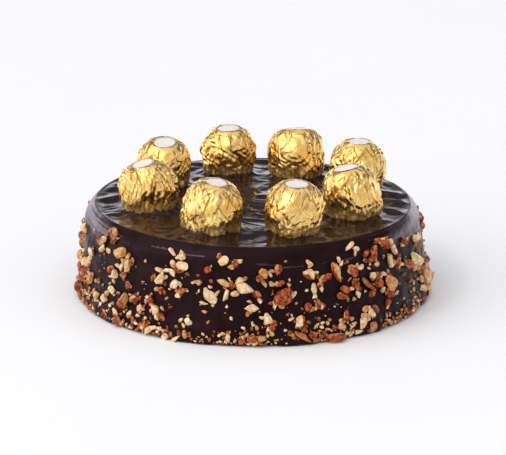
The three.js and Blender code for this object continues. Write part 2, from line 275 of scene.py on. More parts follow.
def cake_profile():
    """Radius and height from the middle of the base, out, up the wall and back to the middle on top."""
    rows = [(0, 0), (0.5 * FOOT_RADIUS, 0), (FOOT_RADIUS - FOOT_ROUND, 0), (FOOT_RADIUS - 0.6, 0.7)]
    heights = list(np.arange(FOOT_ROUND, HIGH_WALL_FROM, LOW_WALL_STEP))
    heights += list(np.arange(HIGH_WALL_FROM, WALL_TOP, HIGH_WALL_STEP))
    rows += [(wall_radius(height), height) for height in heights]
    for step in range(SHOULDER_STEPS):
        share = 1 - step / SHOULDER_STEPS
        drop = SHOULDER_HEIGHT * (0.45 * share + 0.55 * share**2.6)
        rows.append((RIM_RADIUS + (WALL_TOP_RADIUS - RIM_RADIUS) * share, CAKE_HEIGHT - drop))
    radii = list(np.arange(RIM_RADIUS, MIDDLE_WITHIN, -RIM_STEP))
    radii += list(np.arange(MIDDLE_WITHIN, 0.5, -MIDDLE_STEP))
    return rows + [(radius, CAKE_HEIGHT) for radius in radii]


def turned_round(rows, steps):
    """Turns rows of (radius, height) round the upright: each point's radius, angle and height."""
    out = np.repeat([radius for radius, _ in rows], steps)
    height = np.repeat([height for _, height in rows], steps)
    angle = np.tile(np.arange(steps) / steps * 2 * math.pi, len(rows))
    return out, angle, height


def piece_from(name, points, faces, material, smooth_faces=True):
    """A mesh object from points in millimetres."""
    mesh = bpy.data.meshes.new(name)
    mesh.from_pydata((np.asarray(points) * MM).tolist(), [], faces)
    mesh.update()
    if smooth_faces:
        mesh.shade_smooth()
    mesh.materials.append(material)
    piece = bpy.data.objects.new(name, mesh)
    bpy.context.scene.collection.objects.link(piece)
    return piece


def rows_to_faces(row_count, round_count):
    """Four-sided faces between rows of points that close on themselves."""
    faces = []
    for row in range(row_count - 1):
        for step in range(round_count):
            beside = (step + 1) % round_count
            low = row * round_count
            faces.append((low + step, low + beside, low + round_count + beside, low + round_count + step))
    return faces


def closing_face(row_count, round_count):
    """One flat face over the last row."""
    return tuple(range((row_count - 1) * round_count, row_count * round_count))


def new_material(name):
    """A material and its shader."""
    material = bpy.data.materials.new(name)
    material.use_nodes = True
    return material, material.node_tree.nodes["Principled BSDF"]


def add_node(material, kind, **values):
    """A shader node, with its input values given by name."""
    node = material.node_tree.nodes.new(kind)
    for name, value in values.items():
        node.inputs[name.replace("_", " ")].default_value = value
    return node


def add_noise(material, size, detail=3, shrink=(1, 1, 1)):
    """Noise whose blotches are about this many millimetres across, and longer where they are shrunk less."""
    place = material.node_tree.nodes.new("ShaderNodeTexCoord")
    squeeze = add_node(material, "ShaderNodeMapping", Scale=shrink)
    noise = add_node(material, "ShaderNodeTexNoise", Scale=1 / (size * MM), Detail=detail)
    material.node_tree.links.new(place.outputs["Object"], squeeze.inputs["Vector"])
    material.node_tree.links.new(squeeze.outputs["Vector"], noise.inputs["Vector"])
    return noise.outputs["Fac"]


def add_ramp(material, source, stops):
    """A colour ramp from (place, colour) stops."""
    ramp = material.node_tree.nodes.new("ShaderNodeValToRGB")
    while len(ramp.color_ramp.elements) < len(stops):
        ramp.color_ramp.elements.new(0.5)
    for element, (place, colour) in zip(ramp.color_ramp.elements, stops):
        element.position = place
        element.color = (*colour, 1)
    material.node_tree.links.new(source, ramp.inputs["Fac"])
    return ramp.outputs["Color"]


def add_range(material, source, low, high, start=0.3, end=0.7):
    """Low where the source is at start and high where it is at end. Noise runs from about 0.3 to 0.7."""
    spread = add_node(material, "ShaderNodeMapRange", From_Min=start, From_Max=end, To_Min=low, To_Max=high)
    material.node_tree.links.new(source, spread.inputs["Value"])
    return spread.outputs["Result"]


def add_bump(material, shader, source, depth):
    """Fine relief, its depth in millimetres."""
    bump = add_node(material, "ShaderNodeBump", Strength=1, Distance=depth * MM)
    material.node_tree.links.new(source, bump.inputs["Height"])
    material.node_tree.links.new(bump.outputs["Normal"], shader.inputs["Normal"])


def ganache_material(name, roughest, smoothest, shine, haze, drag, drag_depth):
    """Dark ganache, its marks dragged out long where it was spread. A haze of fat dulls it."""
    material, shader = new_material(name)
    links = material.node_tree.links
    shader.inputs["Specular IOR Level"].default_value = shine
    shader.inputs["Specular Tint"].default_value = (1, 0.77, 0.92, 1)
    shader.inputs["Sheen Weight"].default_value = haze
    shader.inputs["Sheen Roughness"].default_value = 0.2
    shader.inputs["Sheen Tint"].default_value = (1, 0.83, 0.87, 1)
    tone = add_ramp(material, add_noise(material, 9), [
        (0.3, (0.0085, 0.0024, 0.0024)),
        (0.7, (0.0165, 0.0052, 0.0048)),
    ])
    links.new(tone, shader.inputs["Base Color"])
    dullness = add_range(material, add_noise(material, 14, detail=5), smoothest, roughest)
    links.new(dullness, shader.inputs["Roughness"])
    add_bump(material, shader, add_noise(material, 1.5, detail=4, shrink=drag), drag_depth)
    return material


# How far the fine marks are shrunk along x, y and z: least of all the way they run.
LONG_ACROSS = (0.25, 0.8, 1)
LONG_UPRIGHT = (1, 1, 0.2)
ganache_top = ganache_material(
    "glossy_ganache", roughest=0.28, smoothest=0.14, shine=0.3, haze=0.05, drag=LONG_ACROSS, drag_depth=0.08
)
ganache_shoulder = ganache_material(
    "drawn_ganache", roughest=0.34, smoothest=0.22, shine=0.6, haze=1, drag=LONG_UPRIGHT, drag_depth=0.12
)
ganache_wall = ganache_material(
    "satin_ganache", roughest=0.4, smoothest=0.26, shine=0.08, haze=0.5, drag=LONG_UPRIGHT, drag_depth=0.1
)

profile = cake_profile()
out, angle, height = turned_round(profile, CAKE_STEPS_ROUND)
cake_points = np.stack([out * np.cos(angle), out * np.sin(angle), height], 1)

on_top = height > WALL_TOP
rise = top_height(cake_points[on_top, 0], cake_points[on_top, 1])
cake_points[on_top, 2] += rise * smooth(WALL_TOP, CAKE_HEIGHT, height[on_top])

on_wall = (out > RIM_RADIUS - 1) & (height > 0)
streaked = smooth(0.1, 0.9, np.sin(4 * angle + height / 7))
streaks = 0.13 * np.sin(height * 4.1 + 3 * np.sin(2 * angle)) * streaked
lumps = sum(size * waves(cake_points, length, seed) for length, size, seed in WALL_SWELLS)
swell = wall_relief(angle, height) + streaks + lumps * smooth(CAKE_HEIGHT, WALL_TOP - 4, height)
swell = swell * smooth(RIM_RADIUS - 1, RIM_RADIUS + 1, out) + foot_smears(angle, height)
swell = swell + drag_marks(angle, height)
growth = 1 + np.where(on_wall, swell, 0) / np.maximum(out, 1)
cake_points[:, :2] *= growth[:, None]

cake_faces = rows_to_faces(len(profile), CAKE_STEPS_ROUND)
cake_faces.append(closing_face(len(profile), CAKE_STEPS_ROUND))
coated_cake = piece_from("coated_cake", cake_points, cake_faces, ganache_wall)
coated_cake.data.materials.append(ganache_top)
coated_cake.data.materials.append(ganache_shoulder)

# Glossy on top, hazy where the knife drew it over the shoulder at the sides and along the burrs.
face_places = np.zeros(3 * len(cake_faces))
coated_cake.data.polygons.foreach_get("center", face_places)
face_x, face_y, face_height = face_places.reshape(-1, 3).T / MM
face_angle = np.arctan2(face_y, face_x)
gloss_within = RIM_RADIUS + 0.3 + 0.4 * np.sin(7 * face_angle) + 0.3 * np.sin(17 * face_angle + 1)
glossy = (np.hypot(face_x, face_y) < gloss_within) & (face_height > WALL_TOP)
drawn_above = WALL_TOP - 1.5 + 1.2 * np.sin(5 * face_angle) + 0.5 * np.sin(13 * face_angle + 2)
drawn_beyond = 0.8 + 0.02 * np.sin(face_height * 2.2)
drawn = (face_height > drawn_above) & (np.abs(np.cos(face_angle)) > drawn_beyond)
drawn = drawn | (drag_marks(face_angle, face_height) > 0.15)
drawn = drawn & ~glossy & (face_height > 0.5)
coated_cake.data.polygons.foreach_set("material_index", (glossy + 2 * drawn).astype(np.int32))
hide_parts("cake")
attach(coated_cake, "root")

# ---- The chopped nuts ----
# Roasted hazelnuts chopped by hand and pressed into the wall while the ganache is soft. Each is a rounded
# kernel cut by flat breaks: the breaks are cream, and what is left of the outside keeps its red-brown skin.

NUT_LOWEST = 1
NUT_HIGHEST = 46
NUT_SWELL = 1.2
EVEN_STEP = 0.7548777
HAND_FROM = -163
HAND_TO = -17
FIRST_BY_HAND = 1000
FIRST_CHIP = 7000
LONGEST_CHIP = 4.6
HIGHEST_CHIP = 48

# How many flat breaks each kind of nut has, and how many of them may show on the outside.
BREAKS = {"cream": 8, "half": 6, "skin": 5}
OUTER_BREAKS = {"cream": 8, "half": 3, "skin": 0}

# Each nut has a number of its own, which settles what is left to chance about it.
Nut = namedtuple("Nut", "piece angle height length width lean kind")

# The angle round the cake, height, length and width, then the lean from upright and the kind of nut.
FRONT_NUTS = [
    (-160, 25, 5.5, 5.5, 35, "cream"),
    (-157, 32, 4.5, 4.5, 70, "cream"),
    (-156, 18, 5.5, 5, -30, "cream"),
    (-150, 12, 5, 3.5, 70, "cream"),
    (-149, 38, 5, 3.5, 55, "cream"),
    (-149, 42, 6.5, 4, 55, "half"),
    (-145, 12, 4.5, 4.5, -60, "cream"),
    (-144, 48, 6, 3.5, -60, "half"),
    (-141, 18, 5, 3.5, -60, "cream"),
    (-140, 27, 7, 2.5, 5, "cream"),
    (-138, 40, 7, 6, 75, "cream"),
    (-137, 4, 5.5, 4.5, 55, "skin"),
    (-137, 33, 5.5, 3, 5, "cream"),
    (-136, 28, 4.5, 4, 50, "half"),
    (-135, 15, 7.5, 7, 0, "half"),
    (-134, 23, 3, 2.5, 70, "skin"),
    (-134, 35, 7.5, 2.5, 10, "cream"),
    (-130, 17, 4, 2, 0, "skin"),
    (-128, 14, 4.5, 3, 25, "cream"),
    (-125, 6, 5.5, 3.5, 25, "half"),
    (-124, 3, 5, 3.5, 25, "cream"),
    (-124, 19, 4, 3, 55, "skin"),
    (-122, 15, 6, 3, -10, "cream"),
    (-120, 26, 4, 2.5, 0, "skin"),
    (-120, 32, 7.5, 5, 35, "cream"),
    (-118, 2, 4.5, 3.5, 0, "cream"),
    (-118, 37, 4, 2.5, 80, "cream"),
    (-117, 47, 4.5, 2.5, -45, "cream"),
    (-115, 30, 5.5, 4, 25, "cream"),
    (-114, 2, 6.5, 2, 50, "cream"),
    (-113, 40, 6.5, 5.5, 90, "half"),
    (-113, 45, 5, 4, 0, "cream"),
    (-112, 28, 5.5, 3, 80, "half"),
    (-111, 5, 5, 3.5, 0, "cream"),
    (-110, 12, 4.5, 3, -40, "cream"),
    (-107, 33, 4.5, 3, -70, "cream"),
    (-104, 40, 3.5, 3, 0, "skin"),
    (-103, 26, 8.5, 5, -45, "cream"),
    (-99, 34, 6.5, 3.5, -70, "cream"),
    (-99, 45, 5, 5, 90, "cream"),
    (-98, 27, 6, 3, 20, "cream"),
    (-97, 5, 5, 2.5, 0, "cream"),
    (-96, 43, 4, 3.5, 20, "half"),
    (-94, 35, 5, 3.5, 35, "cream"),
    (-93, 3, 3.5, 2, -65, "half"),
    (-92, 31, 7.5, 5.5, -55, "cream"),
    (-90, 5, 4.5, 4, 90, "skin"),
    (-90, 21, 7, 4, -70, "cream"),
    (-87, 5, 4.5, 3, 80, "cream"),
    (-86, 39, 6, 4, -20, "cream"),
    (-85, 15, 7.5, 4.5, -5, "cream"),
    (-84, 8, 4, 2.5, -40, "cream"),
    (-82, 33, 3, 2.5, 0, "cream"),
    (-82, 41, 4.5, 4, 0, "half"),
    (-80, 27, 9.5, 7.5, 60, "skin"),
    (-75, 13, 7, 5, 20, "half"),
    (-74, 5, 9.5, 3, -50, "half"),
    (-72, 20, 4.5, 3, 0, "skin"),
    (-72, 38, 6, 4.5, -45, "half"),
    (-70, 29, 6.5, 3, -10, "cream"),
    (-69, 10, 3.5, 1.5, 60, "cream"),
    (-69, 21, 5, 2, 20, "half"),
    (-67, 34, 4.5, 3, 60, "half"),
    (-63, 3, 9, 5, 90, "skin"),
    (-62, 37, 10, 4, -25, "half"),
    (-61, 43, 3, 2, 0, "cream"),
    (-59, 13, 5, 3.5, 0, "skin"),
    (-59, 27, 6, 3, -50, "skin"),
    (-56, 37, 7, 5, -35, "half"),
    (-56, 48, 6, 2, 40, "cream"),
    (-55, 29, 5.5, 3, 0, "skin"),
    (-54, 23, 5.5, 3, -40, "cream"),
    (-53, 8, 7, 3.5, 10, "cream"),
    (-50, 27, 9.5, 2.5, -45, "half"),
    (-49, 4, 7, 4.5, 0, "cream"),
    (-49, 12, 6.5, 3.5, -45, "cream"),
    (-46, 42, 7.5, 4, 15, "half"),
    (-45, 26, 5.5, 4.5, -40, "skin"),
    (-41, 47, 6.5, 5, 90, "skin"),
    (-40, 18, 6.5, 3, -70, "skin"),
    (-39, 24, 9.5, 6, -50, "cream"),
    (-38, 36, 5.5, 3, 0, "cream"),
    (-36, 41, 6.5, 3, -15, "cream"),
    (-34, 32, 6.5, 4, -30, "half"),
    (-29, 42, 4.5, 3.5, -55, "skin"),
    (-28, 30, 7.5, 4, -35, "half"),
    (-22, 30, 8.5, 6, -40, "cream"),
    (-20, 40, 7, 4, -40, "half"),
]


def front_nut(index, row):
    """A nut of the list above, with its number and its angles in radians."""
    degrees, height, length, width, lean, kind = row
    return Nut(FIRST_BY_HAND + index, math.radians(degrees), height, length, width, math.radians(lean), kind)


def drift(angle, height):
    """Nuts gather in drifts, with bare ganache between them, and thicken towards the foot."""
    crossing = math.sin(5 * angle + height / 6) + 0.8 * math.sin(11 * angle - height / 9 + 2)
    return 0.55 + 0.2 * crossing + 0.3 * smooth(15, 5, height) - 0.3 * smooth(36, 46, height)


def scattered_nut(piece, share, longest, shortest, foot_bias, highest):
    """A nut somewhere on the wall. The larger the foot bias, the more of them lie low."""
    length = longest + (shortest - longest) * share**0.5
    climb = ((draw(piece, 2) + piece * EVEN_STEP) % 1) ** foot_bias
    width = length * (0.5 + 0.35 * draw(piece, 3))
    angle = (piece * GOLDEN_ANGLE + 0.5 * draw(piece, 1) + math.pi) % (2 * math.pi) - math.pi
    height = NUT_LOWEST + length / 2 + (highest - NUT_LOWEST - length) * climb
    pick = draw(piece, 8)
    cream_share = 0.55 - 0.2 * smooth(12, 4, height)
    kind = "cream" if pick < cream_share else "skin" if pick < 0.78 else "half"
    return Nut(piece, angle, height, length, width, math.pi * draw(piece, 6), kind)


def too_close(nut, other, spacing):
    """Spacing 1 lets them touch, and less lets them overlap."""
    around = (nut.angle - other.angle) * WALL_TOP_RADIUS
    return math.hypot(around, nut.height - other.height) < spacing * (nut.length + other.length) / 2


def by_hand(angle):
    """The stretch of the wall whose nuts are listed above."""
    return HAND_FROM < math.degrees(angle) < HAND_TO


def scatter(nuts, first, count, lengths, foot_bias, spacing, highest=NUT_HIGHEST, fill_front=True):
    """Adds this many nuts round the wall, largest first, where the drifts want them."""
    added = 0
    piece = first
    while added < count:
        nut = scattered_nut(piece, added / count, *lengths, foot_bias, highest)
        wanted = draw(piece, 7) < drift(nut.angle, nut.height) and (fill_front or not by_hand(nut.angle))
        if wanted and not any(too_close(nut, other, spacing) for other in nuts):
            nuts.append(nut)
            added += 1
        piece += 1


def chips_beside(nut):
    """The small chips that broke off a nut and lie against it or on it."""
    chips = []
    for chip in range(3):
        piece = FIRST_CHIP + 3 * nut.piece + chip
        if draw(piece, 40) > 0.75:
            continue
        length = min(0.35 * nut.length + 2.4 * draw(piece, 41), LONGEST_CHIP)
        way = 2 * math.pi * draw(piece, 42)
        away = (0.3 + 0.35 * draw(piece, 43)) * (0.5 * (nut.length + nut.width) + length)
        angle = nut.angle + away * math.cos(way) / WALL_TOP_RADIUS
        height = max(nut.height + away * math.sin(way), NUT_LOWEST + length / 2)
        if height > HIGHEST_CHIP:
            continue
        pick = draw(piece, 44)
        kind = nut.kind if pick < 0.5 else "cream" if pick < 0.8 else "skin"
        width = length * (0.45 + 0.4 * draw(piece, 45))
        chips.append(Nut(piece, angle, height, length, width, math.pi * draw(piece, 46), kind))
    return chips


def kernel(rounds):
    """The points and faces of a ball to cut a nut from."""
    ball = bmesh.new()
    bmesh.ops.create_icosphere(ball, subdivisions=rounds, radius=1)
    points = np.array([vert.co for vert in ball.verts])
    faces = np.array([[vert.index for vert in face.verts] for face in ball.faces])
    ball.free()
    return points, faces


KERNELS = {rounds: kernel(rounds) for rounds in (1, 2, 3)}


def chopped(nut):
    """One nut's points in place, its faces, and how much skin is left at each point."""
    piece, angle, height, length, width, lean, kind = nut
    rounds = 3 if length > 3.3 else 2 if length > 1.6 else 1
    points, faces = KERNELS[rounds]
    points = points * (1 + 0.16 * waves(points, 1.7, piece, 4))[:, None]
    skin = np.ones(len(points))
    for cut in range(BREAKS[kind]):
        way = direction(2 * draw(piece, 20 + 3 * cut) - 1, 2 * math.pi * draw(piece, 21 + 3 * cut))
        if cut >= OUTER_BREAKS[kind] and way[2] > 0.1:
            way[2] = -way[2]
        over = np.maximum(points @ way - (0.46 + 0.34 * draw(piece, 22 + 3 * cut)), 0)
        points -= over[:, None] * way
        skin = np.where(over > 0.02, 0, skin)
    if kind == "cream":
        skin[:] = 0
    crumbly = draw(piece * 7 + np.arange(len(points)), 9) - 0.5
    points *= (1 + 0.07 * crumbly * (rounds > 1))[:, None]
    depth = 0.5 * (width + length) * (0.72 + 0.2 * draw(piece, 4))
    points *= NUT_SWELL * np.array([width, length, depth]) / 2

    side = points[:, 0] * math.cos(lean) + points[:, 1] * math.sin(lean)
    up = points[:, 1] * math.cos(lean) - points[:, 0] * math.sin(lean)
    out = wall_radius(height) + wall_relief(angle, height) + 0.25 * depth + points[:, 2]
    if height > WALL_TOP:
        out = out - (height - WALL_TOP) * 0.5
    placed = np.stack([
        out * math.cos(angle) - side * math.sin(angle),
        out * math.sin(angle) + side * math.cos(angle),
        np.maximum(height + up, 0.05),
    ], 1)
    return placed, faces, skin


def nuts_piece(name, nuts, material):
    """Nuts as one mesh, each point marked with its skin and each nut with how far it is toasted."""
    points, faces, skins, tones, start = [], [], [], [], 0
    for nut in nuts:
        placed, corners, skin = chopped(nut)
        points.append(placed)
        faces.append(corners + start)
        skins.append(skin)
        tones.append(np.full(len(placed), draw(nut.piece, 31)))
        start += len(placed)
    faces = np.concatenate(faces).tolist()
    piece = piece_from(name, np.concatenate(points), faces, material, smooth_faces=False)
    mark_points(piece, "skin", np.concatenate(skins))
    mark_points(piece, "toast", np.concatenate(tones))
    return piece


def mark_points(piece, mark, values):
    """Gives every point of a piece a number that its material can read."""
    attribute = piece.data.attributes.new(mark, "FLOAT", "POINT")
    attribute.data.foreach_set("value", values.astype(np.float32))


def add_attribute(material, name):
    """The numbers that the points were marked with."""
    attribute = material.node_tree.nodes.new("ShaderNodeAttribute")
    attribute.attribute_name = name
    return attribute.outputs["Fac"]


def add_mix(material, share, first, second):
    """The first colour where the share is 0, and the second where it is 1."""
    mix = material.node_tree.nodes.new("ShaderNodeMix")
    mix.data_type = "RGBA"
    share_in, first_in, second_in = mix.inputs[0], mix.inputs[6], mix.inputs[7]
    material.node_tree.links.new(share, share_in)
    material.node_tree.links.new(first, first_in)
    material.node_tree.links.new(second, second_in)
    return mix.outputs[2]


def nut_material(name):
    """Cream flesh, toasted deeper in patches, and red-brown skin where it is left."""
    material, shader = new_material(name)
    links = material.node_tree.links
    shader.inputs["Roughness"].default_value = 0.4
    shader.inputs["Specular IOR Level"].default_value = 0.2
    shader.inputs["Subsurface Weight"].default_value = 0.1
    shader.inputs["Subsurface Radius"].default_value = (1.0, 0.5, 0.25)
    shader.inputs["Subsurface Scale"].default_value = 1.0 * MM
    toast = add_attribute(material, "toast")
    pale = add_ramp(material, toast, [
        (0.0, (0.92, 0.78, 0.6)),
        (0.45, (0.9, 0.7, 0.45)),
        (0.8, (0.8, 0.52, 0.25)),
        (1.0, (0.62, 0.28, 0.09)),
    ])
    deep = add_ramp(material, toast, [
        (0.0, (0.66, 0.44, 0.2)),
        (0.6, (0.56, 0.28, 0.09)),
        (1.0, (0.36, 0.11, 0.022)),
    ])
    flesh = add_mix(material, add_range(material, add_noise(material, 1.8, detail=4), 1.2, 0), pale, deep)
    skin = add_ramp(material, add_noise(material, 1.7, detail=4), [
        (0.34, (0.08, 0.011, 0.003)),
        (0.5, (0.28, 0.044, 0.01)),
        (0.68, (0.55, 0.15, 0.035)),
    ])
    links.new(add_mix(material, add_attribute(material, "skin"), flesh, skin), shader.inputs["Base Color"])
    add_bump(material, shader, add_noise(material, 0.7, detail=4), 0.2)
    return material


roasted_nut = nut_material("roasted_nut")

# The large nuts and their chips, smaller nuts all over, more of them low down, and a row along the foot.
all_nuts = [front_nut(index, row) for index, row in enumerate(FRONT_NUTS)]
scatter(all_nuts, first=1, count=130, lengths=(8, 3.4), foot_bias=1.25, spacing=0.8, fill_front=False)
all_nuts += [chip for nut in list(all_nuts) for chip in chips_beside(nut)]
scatter(all_nuts, first=20000, count=170, lengths=(3.2, 1.8), foot_bias=1.1, spacing=0.5)
scatter(all_nuts, first=30000, count=420, lengths=(3.2, 1.6), foot_bias=3.2, spacing=0.4, highest=30)
scatter(all_nuts, first=90000, count=260, lengths=(3, 1.5), foot_bias=1, spacing=0.35, highest=9)
larger_nuts = len(all_nuts)
scatter(all_nuts, first=50000, count=620, lengths=(1.6, 0.8), foot_bias=4.5, spacing=0, highest=36)
scatter(all_nuts, first=70000, count=180, lengths=(1.3, 0.7), foot_bias=1.2, spacing=0, highest=42)

for kind in ("cream", "half", "skin"):
    nuts_of_kind = [nut for nut in all_nuts[:larger_nuts] if nut.kind == kind]
    nuts = nuts_piece("nuts_" + kind, nuts_of_kind, roasted_nut)
    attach(nuts, "root")

crumbs = nuts_piece("nut_crumbs", all_nuts[larger_nuts:], roasted_nut)
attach(crumbs, "root")

# ---- The foil-wrapped pralines ----
# Round sweets in thin gold foil, crumpled by hand: flat facets all over, long pleats that gather under the
# ball, and a smooth dished top. They are pushed a few millimetres into the soft ganache.

FOIL_STEPS_ROUND = 260
FOIL_ROWS = 108
BASE_RINGS = 4
TOP_RINGS = 12
TOP_SLOPE = 66
BARREL = 0.78
FLATS = 70
CREASES = 100
GATHERS = 30
GATHER_LEVEL = 0.42
PINCHES = 31
DULL_BELOW = 49
BRIGHT_ABOVE = 59
STICKER_LENGTH = 12.4
STICKER_WIDTH = 10.2
DISH_DEPTH = 0.5
DISH_RIM = 0.22

# The length, depth and seed of the foil's crinkles, coarse to fine. The lower the last number, the more
# upright they run.
CRINKLES = [(7, 0.3, 1, 0.5), (4.2, 0.34, 6, 0.6), (2.4, 0.26, 8, 0.7)]


def praline_profile(girth, foot):
    """Radius and height up the ball from the middle of its base to the middle of its top."""
    rows = []
    for row in range(FOIL_ROWS + 1):
        slope = math.radians(-foot + (TOP_SLOPE + foot) * row / FOIL_ROWS)
        reach = math.sin(math.radians(foot if slope < 0 else TOP_SLOPE))
        rows.append((
            PRALINE_RADIUS * girth * math.cos(slope) ** BARREL,
            PRALINE_HEIGHT / 2 * math.sin(slope) / reach,
        ))
    foot_radius, foot_height = rows[0]
    end_radius, end_height = rows[-1]
    base = [(foot_radius * ring / BASE_RINGS, foot_height) for ring in range(BASE_RINGS)]
    top = [(end_radius * (1 - ring / TOP_RINGS), end_height) for ring in range(1, TOP_RINGS)]
    return base + rows + top


def press_flats(points, seed):
    """How far out the nearest of the planes round the ball lets the foil reach, to lie flat against it."""
    ways = points * np.array([1, 1, PRALINE_RADIUS * 2 / PRALINE_HEIGHT])
    ways = ways / np.maximum(np.linalg.norm(ways, axis=1), 0.001)[:, None]
    nearest = np.full(len(points), 2.0)
    for patch in range(FLATS):
        climb = 1 - (2 * patch + 1) / FLATS + 0.1 * (draw(seed, 200 + patch) - 0.5)
        facing = ways @ direction(climb, patch * GOLDEN_ANGLE + 0.6 * draw(seed, 300 + patch))
        nearest = np.minimum(nearest, (0.975 + 0.03 * draw(seed, 400 + patch)) / np.maximum(facing, 0.3))
    return nearest


def crease_foil(around, up, out, seed):
    """Folds that lap over: a step on one side of each crease that dies away over a few millimetres. Also
    gives the painted shade along each crease.
    """
    lift = np.zeros_like(up)
    dark = np.zeros_like(up)
    for crease in range(CREASES + GATHERS):
        gather = crease >= CREASES
        share = draw(seed, 500 + crease)
        level = PRALINE_HEIGHT * (0.88 * draw(seed, 600 + crease) - GATHER_LEVEL)
        if gather:
            share = (crease - CREASES + 0.6 * share) / GATHERS
            level = -PRALINE_HEIGHT * GATHER_LEVEL
        lean = (0.6 if gather else 1.6) * (draw(seed, 700 + crease) - 0.5)
        half_length = (4 if gather else 2.5) + 5 * draw(seed, 800 + crease)
        sideways = along_round(around, 2 * math.pi * share, out)
        along = (up - level) * math.cos(lean) + sideways * math.sin(lean)
        across = sideways * math.cos(lean) - (up - level) * math.sin(lean)
        across = across + (draw(seed, 900 + crease) - 0.5) * 2 * (along / half_length) ** 2
        across = across + 0.25 * (2 * np.abs(np.mod(along * 0.35 + crease * 0.37, 1) - 0.5) - 0.5)
        if draw(seed, 1000 + crease) < 0.5:
            across = -across
        held = smooth(1, 0.5, np.abs(along) / half_length)
        step = smooth(-0.3, 0.35, across) * np.exp(-np.maximum(across, 0) / 1.6)
        depth = 0.2 + 0.3 * draw(seed, 1100 + crease) + 0.15 * gather
        lift = lift + held * depth * step
        # Painted shade: the foil is darkened along the low side of each crease.
        dark = np.maximum(dark, held * np.exp(-(((across + 0.2) / 0.3) ** 2)))
    return lift, dark


def crumple(points, praline, seed):
    """Creases the foil. Returns the points moved, and the painted shade at each point: darker in the creases
    and between the gathered pleats at the foot.
    """
    out = np.hypot(points[:, 0], points[:, 1])
    around = np.arctan2(points[:, 1], points[:, 0])
    angle = around + math.radians(praline.fold_turn)
    climb = points[:, 2] / PRALINE_HEIGHT + 0.5
    pleats = 0.45 * np.sin(6 * angle + 3 * climb) * (1 - 0.7 * climb)
    dents = 0.35 * np.sin(2 * angle + 5 * climb) + 0.3 * np.sin(4 * angle - 7 * climb + 1)
    pinch = PINCHES * around + 2.5 * np.sin(4 * around + seed) + 0.8 * np.sin(9 * climb + 2 * around)
    uneven = 0.65 + 0.35 * np.sin(7 * around + 2 * seed + 5 * climb)
    gathered = 1.1 * scallop(pinch) * smooth(0.6, 0.12, climb) * uneven
    swell = 1 + (pleats + dents + gathered) * smooth(0, 8, out) / PRALINE_RADIUS
    shaped = points * np.stack([swell, swell, np.ones_like(swell)], 1)
    shaped[:, :2] *= (1 + 0.45 * (press_flats(points, seed) - 1) * smooth(2, 9, out))[:, None]

    bent = shaped + 0.9 * np.stack([waves(shaped, 9, seed + axis, 5) for axis in (3, 4, 5)], 1)
    crinkle = 0
    for length, depth, salt, upright in CRINKLES:
        stretched = bent * np.array([1, 1, upright])
        crinkle = crinkle + depth * waves(stretched, length, seed + salt, 3, folded=True)
    crinkle = crinkle * (0.6 + 0.4 * smooth(-0.5, 0.4, waves(points, 22, seed + 9, 3)))
    crinkle = crinkle * (0.35 + 0.65 * smooth(0.08, 0.4, climb))
    below_top = smooth(1.0, 0.92, climb)
    lift, dark = crease_foil(around, points[:, 2], out, seed)
    away = shaped / np.linalg.norm(shaped * np.array([1, 1, 1.1]), axis=1)[:, None]
    relief = (lift - 0.25) * below_top + crinkle * (0.35 + 0.65 * below_top)
    moved = shaped + away * (relief * smooth(0.5, 6, out))[:, None]

    turn = math.radians(praline.sticker_turn)
    long_way = (points[:, 0] * math.cos(turn) + points[:, 1] * math.sin(turn)) / (STICKER_LENGTH / 2)
    short_way = (points[:, 1] * math.cos(turn) - points[:, 0] * math.sin(turn)) / (STICKER_WIDTH / 2)
    oval = np.hypot(long_way, short_way)
    rim = DISH_RIM * np.exp(-(((oval - 1.16) / 0.1) ** 2))
    moved[:, 2] += smooth(0.85, 0.95, climb) * (rim - DISH_DEPTH * smooth(1.08, 0.95, oval))
    # The second value is painted shade, for the creases and for the hollows between the gathered pleats.
    return moved, np.maximum(dark * below_top, 0.5 * smooth(-0.1, -0.4, gathered))


def on_the_cake(points, praline):
    """Points round a praline's own centre, leant and moved to where it stands."""
    toward = math.radians(praline.toward)
    axis = Vector((-math.sin(toward), math.cos(toward), 0))
    stand = Matrix.Translation((praline.x, praline.y, CAKE_HEIGHT - PRALINE_SINK + PRALINE_HEIGHT / 2))
    place = np.array(stand @ Matrix.Rotation(math.radians(praline.lean), 4, axis))
    return points @ place[:3, :3].T + place[:3, 3]


def add_split(material, kind):
    """The x, y and z of a place on the piece, or of a way out into the room."""
    place = material.node_tree.nodes.new("ShaderNodeTexCoord")
    split = material.node_tree.nodes.new("ShaderNodeSeparateXYZ")
    material.node_tree.links.new(place.outputs[kind], split.inputs["Vector"])
    return split.outputs


# The foil is bright metal, and duller low down, where it is gathered tight.
foil, foil_shader = new_material("gold_foil")
foil_links = foil.node_tree.links
foil_height = add_split(foil, "Object")["Z"]
foil_metal = add_range(foil, foil_height, 0.3, 1, DULL_BELOW * MM, BRIGHT_ABOVE * MM)
foil_links.new(foil_metal, foil_shader.inputs["Metallic"])
foil_sheet = add_ramp(foil, add_noise(foil, 5, detail=2), [
    (0.35, (0.87, 0.54, 0.15)),
    (0.65, (0.91, 0.63, 0.24)),
])
# Painted shade: the foil's colour turns dark amber where the crease mark is high, in the creases and between
# the gathered pleats, in place of the shade and gold-on-gold reflections there.
foil_painted_crease_shade = add_ramp(foil, add_noise(foil, 2), [
    (0.3, (0.2, 0.09, 0.015)),
    (0.7, (0.38, 0.2, 0.05)),
])
foil_tone_and_painted_shade = add_mix(foil, add_attribute(foil, "crease"), foil_sheet, foil_painted_crease_shade)
foil_links.new(foil_tone_and_painted_shade, foil_shader.inputs["Base Color"])
foil_links.new(add_range(foil, add_noise(foil, 3), 0.2, 0.32), foil_shader.inputs["Roughness"])
add_bump(foil, foil_shader, add_noise(foil, 1.2, detail=3), 0.14)

